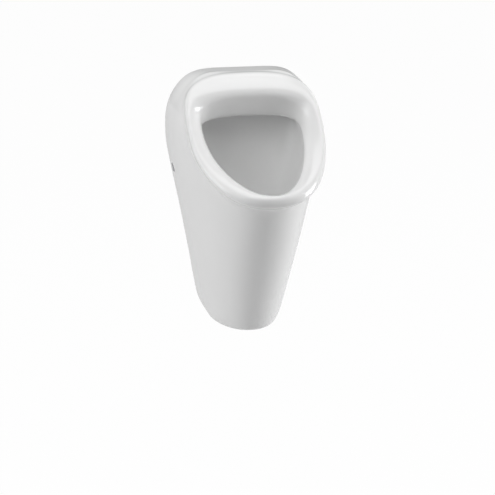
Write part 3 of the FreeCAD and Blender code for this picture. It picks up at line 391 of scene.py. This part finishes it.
def settle(piece):
    """Put an object's place into its mesh."""
    activate(piece)
    bpy.ops.object.transform_apply(location=True, rotation=True, scale=True)


def cut_with(piece, tool, operation):
    """Apply a boolean and remove the tool."""
    activate(piece)
    modifier = piece.modifiers.new("cut", "BOOLEAN")
    modifier.operation = operation
    modifier.solver = "EXACT"
    modifier.object = tool
    bpy.ops.object.modifier_apply(modifier=modifier.name)
    bpy.data.objects.remove(tool, do_unlink=True)


def round_bar(name, radius, start, end, sides=64):
    """A cylinder between two points on one axis, in millimetres from the underside."""
    first, last = (Vector((x, y, z - FIXING_LEVEL)) * MM for x, y, z in (start, end))
    along = last - first
    deselect()
    bpy.ops.mesh.primitive_cylinder_add(
        vertices=sides, radius=radius * MM, depth=along.length, location=(first + last) / 2,
        rotation=along.to_track_quat("Z", "Y").to_euler())
    bar = bpy.context.object
    bar.name = name
    settle(bar)
    return bar


# ---------------------------------------------------------------- the china's control rings

def signed_power(number, power):
    """Raise the size of a number to a power and keep its sign."""
    return math.copysign(abs(number) ** power, number)


def ring(half_width, top, middle, low, top_depth, middle_depth, low_depth,
         upper=2.0, lower=2.0, sway=0.0):
    """Poles of one closed ring: an egg in the front view that follows a curved depth."""
    poles = []
    for step in range(RING_POLES):
        angle = 2.0 * math.pi * step / RING_POLES
        squareness = upper if math.cos(angle) > 1e-9 else lower
        across = signed_power(math.sin(angle), 2.0 / squareness)
        upright = signed_power(math.cos(angle), 2.0 / squareness)
        reach = top - middle if upright > 0 else middle - low
        depth = (middle_depth - (low_depth - top_depth) / 2.0 * upright
                 + ((low_depth + top_depth) / 2.0 - middle_depth) * upright ** 2
                 - sway * (upright ** 3 - upright))
        poles.append(Vector((half_width * across, -depth, middle + reach * upright)))
    return poles


def level_ring(radius, level, depth):
    """Poles of a level circle round the waste."""
    return ring(radius, level, level, level, depth - radius, depth, depth + radius)


# The trunk's sections: level, half width at the wall, depth, squareness (2 is an ellipse).
TRUNK_SECTIONS = (
    (-60, 77, 145, 2.35), (0, 86, 170, 2.35), (24, 89, 178, 2.35), (120, 105, 214, 2.35),
    (220, 123.4, 253, 2.25), (310, 142, 288, 2.05), (350, 151.5, 296, 2.05),
    (380, 157.7, 300, 2.05), (410, 159.6, 292, 2.05), (440, 160, 268, 2.05),
    (470, 156.5, 236, 2.05), (495, 144.5, 200, 2.05), (510, 135, 178, 2.05),
    (520, 124, 160, 2.05), (530, 110, 140, 2.05), (540, 96, 120, 2.05), (600, 40, 60, 2.05),
)
TRUNK_CENTRE = Vector((0.0, 0.0, 300.0))

# Where the trunk's poles meet the wall, from the middle of the top down to the middle of the foot.
WALL_LINE = (
    (0, 540), (38, 540), (74, 540), (104, 532), (128, 515), (145.5, 489), (156.5, 460),
    (160, 425), (158, 385), (149, 335), (136, 275), (119, 190), (101, 95), (90, 19), (71, 0),
    (35, 0), (0, 0),
)
# Where the last poles cross the foot's front edge: (half width, depth, level) by place in the ring.
FOOT_EDGE = {13: (87, 54, 3), 14: (66, 104, 0), 15: (38, 152, 0), 16: (0, 166, 0)}
EASE_END = 11               # place in the ring, from the middle of the top, where the soft fold ends
# How far the fold is filled at the sides of the rim, in millimetres, by place in the ring.
FOLD_FILL = {2: 1.0, 3: 2.0, 4: 3.0, 5: 3.2, 6: 3.2, 7: 2.8, 8: 2.0, 9: 1.0}


def section_at(level):
    """Half width, depth and squareness of the trunk at a level."""
    for low, high in zip(TRUNK_SECTIONS, TRUNK_SECTIONS[1:]):
        if level <= high[0]:
            share = (level - low[0]) / (high[0] - low[0])
            return [a + (b - a) * share for a, b in zip(low[1:], high[1:])]
    return TRUNK_SECTIONS[-1][1:]


def in_trunk(point, height, inset):
    """True for a point inside the trunk, drawn in by an inset."""
    if not inset <= point.z <= height - inset:
        return False
    width, depth, squareness = section_at(point.z)
    across = (abs(point.x) / (width - inset)) ** squareness
    ahead = (abs(point.y) / (depth - inset)) ** squareness
    return across + ahead <= 1


def on_trunk(direction, height, inset):
    """The place where a ray from the trunk's centre leaves it."""
    near, far = 0.0, 700.0
    for _ in range(36):
        middle = (near + far) / 2.0
        if in_trunk(TRUNK_CENTRE + direction * middle, height, inset):
            near = middle
        else:
            far = middle
    return TRUNK_CENTRE + direction * near


def towards(point):
    """Direction from the trunk's centre to a point."""
    return (Vector(point) - TRUNK_CENTRE).normalized()


def mirrored(step):
    """Place of a pole in the right half, and the side it is on."""
    return (step, 1) if step <= RING_POLES // 2 else (RING_POLES - step, -1)


def trunk_ring(start, share, height, inset, ease=0.0, fill=0.0):
    """Poles on the trunk: share 0 lies below the rim, 1 on the foot's front edge and 2 on the wall.

    Ease draws the upper poles back from the rim and fill lifts those at its sides, so that the
    fold is soft there and crisp under the lip.
    """
    poles = []
    for step, pole in enumerate(start):
        place, side = mirrored(step)
        across, level = WALL_LINE[place]
        first = towards(pole)
        last = towards((side * across, 0, level))
        if place in FOOT_EDGE:
            across, depth, level = FOOT_EDGE[place]
            middle = towards((side * across, -depth, level))
        else:
            middle = first.slerp(last, 0.62 + 0.008 * max(0, place - 4))
        here = share + ease * max(0.0, 1.0 - place / EASE_END)
        direction = first.slerp(middle, here) if here <= 1 else middle.slerp(last, here - 1)
        poles.append(on_trunk(direction, height, inset - fill * FOLD_FILL.get(place, 0.0)))
    return poles


def china_rings(sizes):
    """Control rings of the china: up the bowl, over the rim, down the trunk, back behind the bowl."""
    top, wall = sizes.body_height, sizes.china_wall
    rim, rim_level = sizes.rim_half_width, sizes.rim_wide_level
    rim_top, rim_mid, sway = sizes.rim_top_depth, sizes.rim_mid_depth, sizes.rim_sway
    lip, lip_depth = sizes.lip_level, sizes.lip_depth
    mouth, mouth_level = sizes.opening_half_width, sizes.opening_wide_level
    mouth_low, mouth_mid = sizes.opening_low_level, sizes.opening_mid_depth
    mouth_front = sizes.opening_front_depth
    lintel, lintel_depth = sizes.lintel_level, sizes.lintel_depth
    wide, mid_wide = sizes.bowl_half_width, sizes.bowl_mid_half_width
    low_wide, back = sizes.bowl_low_half_width, sizes.bowl_back_depth
    ceiling, floor = sizes.ceiling_level, sizes.floor_level
    hole, drain, boss = sizes.waste_depth, sizes.waste_hole_radius, sizes.boss_radius
    under_floor = floor - sizes.boss_height
    below_rim = ring(rim - 2, top - 1, rim_level - 2, lip - 16, rim_top - 14, rim_mid - 14,
                     lip_depth - 24, 3.0, 2.4, sway)
    fold = ring(rim - 12.5, top - 24, rim_level - 9, lip - 31, rim_top - 18, rim_mid - 30,
                lip_depth - 45, 2.8, 2.3)

    def outside(share, ease=0.0, fill=0.0):
        return trunk_ring(below_rim, share, top, 0, ease, fill)

    def inside(share):
        return trunk_ring(fold, share, top, wall)

    return [
        level_ring(drain + 2, floor - 3, hole),
        level_ring(boss - 4, floor - 1, hole),
        level_ring(boss + 2, floor + 3, hole),
        ring(low_wide, floor + 42, floor + 26, floor + 34, back + 13, hole, hole + 82),
        ring(mid_wide, floor + 134, floor + 104, floor + 89, back + 3, hole, mouth_front - 55),
        ring(wide, ceiling - 50, mouth_level - 55, mouth_low - 28, back, hole - 6,
             mouth_front - 29, 2.4, 2.1),
        ring(wide, ceiling, mouth_level - 20, mouth_low - 14, back + 4, hole - 4,
             mouth_front - 21, 2.6, 2.1),
        ring(wide - 1, ceiling - 3, mouth_level - 6, mouth_low - 8, lintel_depth - 16,
             mouth_mid - 15, mouth_front - 16, 2.8, 2.1),
        ring(mouth + 2, lintel + 4, mouth_level, mouth_low - 5, lintel_depth - 10,
             mouth_mid - 8, mouth_front - 5, 2.75, 2.1, 20),
        ring(mouth, lintel - 1, mouth_level, mouth_low, lintel_depth + 1,
             mouth_mid, mouth_front, 2.75, 2.1, 20),
        ring(mouth + 3, lintel + 39, mouth_level + 10, mouth_low + 1, lintel_depth + 9,
             mouth_mid + 6, mouth_front + 5, 2.7, 2.1, sway),
        ring(mouth + 11, lintel + 54, mouth_level + 17, mouth_low + 3, lintel_depth + 21,
             rim_mid - 4, lip_depth - 10, 2.7, 2.15, sway),
        ring(rim - 8.5, top - 10, rim_level - 1, lip + 15, rim_top + 17, rim_mid + 8,
             lip_depth - 3, 2.9, 2.3, sway),
        ring(rim, top + 1.5, rim_level, lip + 3, rim_top, rim_mid, lip_depth, 3.0, 2.5, sway),
        ring(rim - 0.5, top - 0.2, rim_level - 1, lip - 9, rim_top - 10, rim_mid - 10,
             lip_depth - 6, 3.0, 2.5, sway),
        outside(0.0, 0.24, 1.0), outside(0.16, 0.24, 0.5), outside(0.38, 0.10, 0.1),
        outside(0.62), outside(0.82), outside(0.93), outside(1.0),
        outside(1.12), outside(1.5), outside(1.93), outside(2.0),
        trunk_ring(below_rim, 2.0, top, wall / 2.0),
        inside(2.0), inside(1.93), inside(1.4), inside(1.0), inside(0.85), inside(0.6),
        inside(0.3), inside(0.1),
        ring(rim - 14.5, top - 28, rim_level - 15, lip - 29, rim_top - 20, rim_mid - 38,
             lip_depth - 46, 2.7, 2.2),
        ring(wide + wall, ceiling + wall, mouth_level - 15, mouth_low - 50, back - 8, hole - 6,
             mouth_front - 31, 2.6, 2.1),
        ring(wide + wall, ceiling - 44, mouth_level - 52, mouth_low - 58, back - wall,
             hole - 10, mouth_front - 39, 2.4, 2.1),
        ring(mid_wide + wall, floor + 126, floor + 96, floor + 74, back - 9, hole - 2,
             mouth_front - 51),
        ring(low_wide + wall, floor + 26, floor + 12, floor + 18, back + 2, hole, hole + 90),
        level_ring(boss + 3, floor - 9, hole),
        level_ring(boss, under_floor, hole),
        level_ring(drain + 3, under_floor, hole),
    ]


# ---------------------------------------------------------------- operators

class ShapeChina(bpy.types.Operator):
    """Model the glazed china body as one smooth skin"""
    bl_idname = "urinal.shape_china"
    bl_label = "Shape the china"

    def execute(self, context):
        sizes = context.scene.urinal_china
        underside = Vector((0, 0, -FIXING_LEVEL))
        rings = [[(pole + underside) * MM for pole in poles] for poles in china_rings(sizes)]
        deselect()
        bpy.ops.mesh.primitive_circle_add(vertices=RING_POLES, radius=sizes.waste_hole_radius * MM)
        china = context.object
        china.name = "china_body"
        bpy.ops.object.mode_set(mode="EDIT")
        grid = bmesh.from_edit_mesh(china.data)
        line = list(grid.verts)
        for pole, place in zip(line, rings[0]):
            pole.co = place
        for poles in rings[1:]:
            bpy.ops.mesh.extrude_edges_move()
            grid = bmesh.from_edit_mesh(china.data)
            grid.verts.ensure_lookup_table()
            line = list(grid.verts)[-RING_POLES:]
            self.follow(line, poles, grid)
        bpy.ops.mesh.select_all(action="DESELECT")
        for edge in grid.edges:
            edge.select = edge.is_boundary
        bmesh.update_edit_mesh(china.data)
        bpy.ops.mesh.bridge_edge_loops()
        bpy.ops.mesh.select_all(action="SELECT")
        bpy.ops.mesh.normals_make_consistent(inside=False)
        bpy.ops.object.mode_set(mode="OBJECT")
        settle(china)
        smooth = china.modifiers.new("glaze_skin", "SUBSURF")
        smooth.levels = smooth.render_levels = sizes.smoothness
        bpy.ops.object.modifier_apply(modifier=smooth.name)
        self.drill(china, sizes)
        activate(china)
        bpy.ops.object.shade_smooth_by_angle(angle=math.radians(SMOOTH_ANGLE))
        china.data.materials.clear()
        china.data.materials.append(glaze_material(context.scene.urinal_colours))
        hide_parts("ceramic_body")
        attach(china, "china")
        return {"FINISHED"}

    @staticmethod
    def follow(line, poles, grid):
        """Move a new ring's vertices to its poles, in the order of the ring they came from."""
        fresh = set(line)
        order = {}
        for vertex in line:
            for edge in vertex.link_edges:
                other = edge.other_vert(vertex)
                if other not in fresh:
                    order[vertex] = other.index % RING_POLES
        for vertex in line:
            vertex.co = poles[order[vertex]]

    @staticmethod
    def drill(china, sizes):
        """Add the inlet's boss, then drill the inlet, the waste's seat and hole, and the side holes."""
        def along_y(name, radius, front, back):
            level = sizes.inlet_level
            return round_bar(name, radius, (0, -front, level), (0, -back, level))

        def upright(name, radius, low, high):
            depth = sizes.waste_depth
            return round_bar(name, radius, (0, -depth, low), (0, -depth, high), 96)

        front, back = sizes.inlet_boss_front, sizes.inlet_boss_back
        seat = sizes.floor_level - sizes.seat_depth
        cut_with(china, along_y("inlet_boss", sizes.inlet_boss_radius, front, back), "UNION")
        for drill in (
                along_y("inlet_drill", sizes.inlet_hole_radius, front + CLEAR, CLEAR),
                upright("seat_drill", sizes.seat_radius, seat, seat + DRILL_REACH),
                upright("waste_drill", sizes.waste_hole_radius, seat - 2 * DRILL_REACH,
                        seat + DRILL_REACH)):
            cut_with(china, drill, "DIFFERENCE")

        low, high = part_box("side_cap_right")
        depth = (low[1] + high[1]) / 2 / MM
        level = FIXING_LEVEL + (low[2] + high[2]) / 2 / MM
        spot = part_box("side_bushes")[1][0] / MM - BUSH_NECK
        for side in (1, -1):
            for name, radius, start, end in (
                    ("side_drill", sizes.side_hole_radius, *SIDE_DRILL),
                    ("spot_drill", sizes.spot_radius, SPOT_START, spot)):
                drill = round_bar(name, radius, (side * start, depth, level), (side * end, depth, level))
                cut_with(china, drill, "DIFFERENCE")


class FinishFittings(bpy.types.Operator):
    """Give every fitting its metal, plastic or rubber"""
    bl_idname = "urinal.finish_fittings"
    bl_label = "Finish the fittings"

    def execute(self, context):
        colours = context.scene.urinal_colours
        chrome = metal_material("chrome_plate", colours.chrome, 0.06)
        rubber = rubber_material(colours)
        brass = metal_material("machined_brass", colours.brass, 0.22, (1.0, 1.0, 12.0))
        copper = metal_material("drawn_copper", colours.copper, 0.20, (12.0, 1.0, 12.0))
        trap = plastic_material("trap_plastic", colours.trap_plastic, 0.30)
        grey = plastic_material("grey_pipe", colours.pipe_grey, 0.34)
        # Painted shade: the side caps get a darkened chrome that stands for the shadow in the gap round
        # them.
        painted_shade_cap = metal_material("cap_chrome", colours.painted_shade_cap, 0.12)
        zinc = metal_material("zinc_steel", colours.zinc, 0.30)
        nylon = plastic_material("nylon", colours.nylon, 0.40)
        finishes = (
            (chrome, ("strainer", "waste_flange", "spreader")),
            (painted_shade_cap, ("side_cap_left", "side_cap_right")),
            (rubber, ("waste_seal", "waste_washer", "trap_inlet_seal", "trap_base_seal",
                      "outlet_seal", "spreader_seal", "inlet_washer")),
            (brass, ("waste_nut", "spreader_nut", "inlet_nut")),
            (copper, ("inlet_pipe",)),
            (trap, ("trap_dip_tube", "trap_inlet_nut", "trap_body", "trap_base_cup", "outlet_nut")),
            (grey, ("outlet_pipe",)),
            (zinc, ("wall_bracket_left", "wall_bracket_right", "screw_washers", "side_screws",
                    "bracket_nuts")),
            (nylon, ("side_bushes",)),
        )
        for material, names in finishes:
            for name in names:
                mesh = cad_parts[name].data
                mesh.materials.clear()
                mesh.materials.append(material)
        return {"FINISHED"}


class SetStudio(bpy.types.Operator):
    """Put in the pale floor, the soft lamps and the camera"""
    bl_idname = "urinal.set_studio"
    bl_label = "Set the studio"

    def execute(self, context):
        studio = context.scene.urinal_studio
        self.floor(context.scene.urinal_colours, CAD_BOX[0][2] - studio.floor_drop)
        for name, place, width, height, power in LAMPS:
            self.lamp(name, place, width, height, power)
        self.world()
        self.camera(context, studio)
        context.scene.view_settings.view_transform = "Standard"
        return {"FINISHED"}

    @staticmethod
    def floor(colours, level):
        """A wide pale floor that keeps the shadow."""
        deselect()
        bpy.ops.mesh.primitive_plane_add(size=FLOOR_SIZE, location=(0.0, 0.0, level))
        plane = bpy.context.object
        plane.name = "studio_floor"
        settle(plane)
        plane.data.materials.append(floor_material(colours))

    @staticmethod
    def lamp(name, place, width, height, power):
        """A softbox that faces the object."""
        deselect()
        turn = (Vector(LAMP_TARGET) - Vector(place)).to_track_quat("-Z", "Y").to_euler()
        bpy.ops.object.light_add(type="AREA", location=place, rotation=turn)
        lamp = bpy.context.object
        lamp.name = name
        lamp.data.shape = "RECTANGLE"
        lamp.data.size = width
        lamp.data.size_y = height
        lamp.data.energy = power

    @staticmethod
    def world():
        """Even light from all round, white where the camera sees it."""
        world = bpy.context.scene.world or bpy.data.worlds.new("studio")
        bpy.context.scene.world = world
        world.use_nodes = True
        tree = world.node_tree
        tree.nodes.clear()
        ray = tree.nodes.new("ShaderNodeLightPath")
        light = tree.nodes.new("ShaderNodeBackground")
        seen = tree.nodes.new("ShaderNodeBackground")
        mix = tree.nodes.new("ShaderNodeMixShader")
        output = tree.nodes.new("ShaderNodeOutputWorld")
        light.inputs["Color"].default_value = WORLD_LIGHT
        light.inputs["Strength"].default_value = WORLD_STRENGTH
        seen.inputs["Color"].default_value = WHITE
        seen.inputs["Strength"].default_value = 1.0
        tree.links.new(ray.outputs["Is Camera Ray"], mix.inputs["Fac"])
        tree.links.new(light.outputs["Background"], mix.inputs[1])
        tree.links.new(seen.outputs["Background"], mix.inputs[2])
        tree.links.new(mix.outputs["Shader"], output.inputs["Surface"])

    @staticmethod
    def camera(context, studio):
        """The camera at the photograph's place and angle."""
        deselect()
        bpy.ops.object.camera_add(location=studio.camera_place)
        camera = context.object
        camera.name = "photo_camera"
        yaw, pitch = studio.camera_yaw, studio.camera_pitch
        level = math.cos(pitch)
        ahead = Vector((math.sin(yaw) * level, math.cos(yaw) * level, -math.sin(pitch)))
        turn = ahead.to_track_quat("-Z", "Y").to_matrix()
        roll = Matrix.Rotation(studio.camera_roll, 3, "Z")
        camera.rotation_euler = (turn @ roll).to_euler()
        camera.data.sensor_width = 36.0
        camera.data.lens = studio.lens
        camera.data.clip_end = 100.0
        context.scene.camera = camera


class UrinalPanel(bpy.types.Panel):
    """Lists the steps in the order they run"""
    bl_idname = "VIEW3D_PT_urinal"
    bl_label = "Wall hung urinal"
    bl_space_type = "VIEW_3D"
    bl_region_type = "UI"
    bl_category = "Urinal"

    def draw(self, context):
        for step in STEPS:
            self.layout.operator(step.bl_idname, text=step.bl_label)
        self.layout.prop(context.scene.urinal_china, "smoothness")


STEPS = (ShapeChina, FinishFittings, SetStudio)
SETTINGS = {
    "urinal_china": ChinaSizes, "urinal_colours": FinishColours, "urinal_studio": StudioSettings,
}


def register():
    """Register the settings, the steps and the panel."""
    for name, group in SETTINGS.items():
        bpy.utils.register_class(group)
        setattr(bpy.types.Scene, name, PointerProperty(type=group))
    for step in STEPS + (UrinalPanel,):
        bpy.utils.register_class(step)


def unregister():
    """Take everything out again."""
    for step in (UrinalPanel,) + STEPS[::-1]:
        bpy.utils.unregister_class(step)
    for name, group in SETTINGS.items():
        delattr(bpy.types.Scene, name)
        bpy.utils.unregister_class(group)


def main():
    """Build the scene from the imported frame."""
    register()
    bpy.ops.urinal.shape_china()
    bpy.ops.urinal.finish_fittings()
    bpy.ops.urinal.set_studio()


if __name__ == "__main__":
    main()
